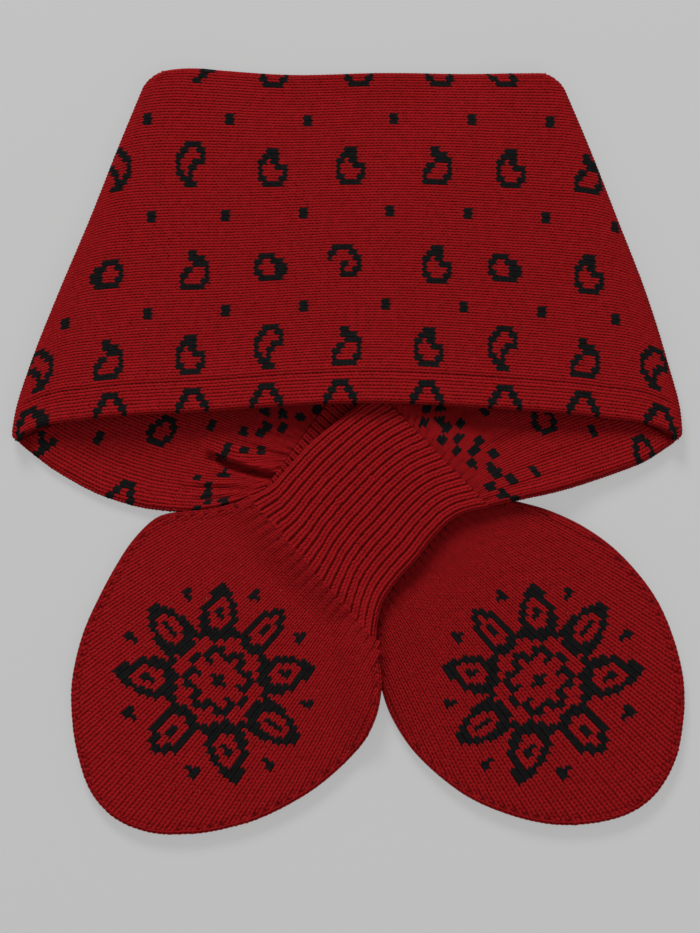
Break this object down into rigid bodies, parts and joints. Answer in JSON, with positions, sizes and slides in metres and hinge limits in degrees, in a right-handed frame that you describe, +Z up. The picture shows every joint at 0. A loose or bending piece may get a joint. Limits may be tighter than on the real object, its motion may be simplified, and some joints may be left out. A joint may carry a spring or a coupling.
{
  "type": "knitted bandana scarf",
  "caption": "Child's knitted crossover scarf in red wool with a black bandana pattern: a wide band, ribbed necks and rounded paddles, folded and laid flat on a surface.",
  "frame": {"origin": "on the surface that the scarf lies on, below the middle of its outline", "axes": "+Z up from that surface, +Y from the paddles towards the band's folded top edge, +X to the right as seen from above"},
  "size_m": [0.2692, 0.3065, 0.0155],
  "materials": {
    "jacquard": "matt brushed wool, two-colour double knit, red with black motifs",
    "rib": "matt red wool, ribbed",
    "plain_knit": "matt red wool, plain knit"
  },
  "bodies": {
    "root": {"band_near": "jacquard", "band_far_left": "jacquard", "band_far_right": "jacquard", "neck_front": "rib", "neck_back": "rib", "paddle_left_front": "jacquard", "paddle_left_back": "plain_knit", "paddle_right_front": "jacquard", "paddle_right_back": "plain_knit"}
  },
  "joints": []
}
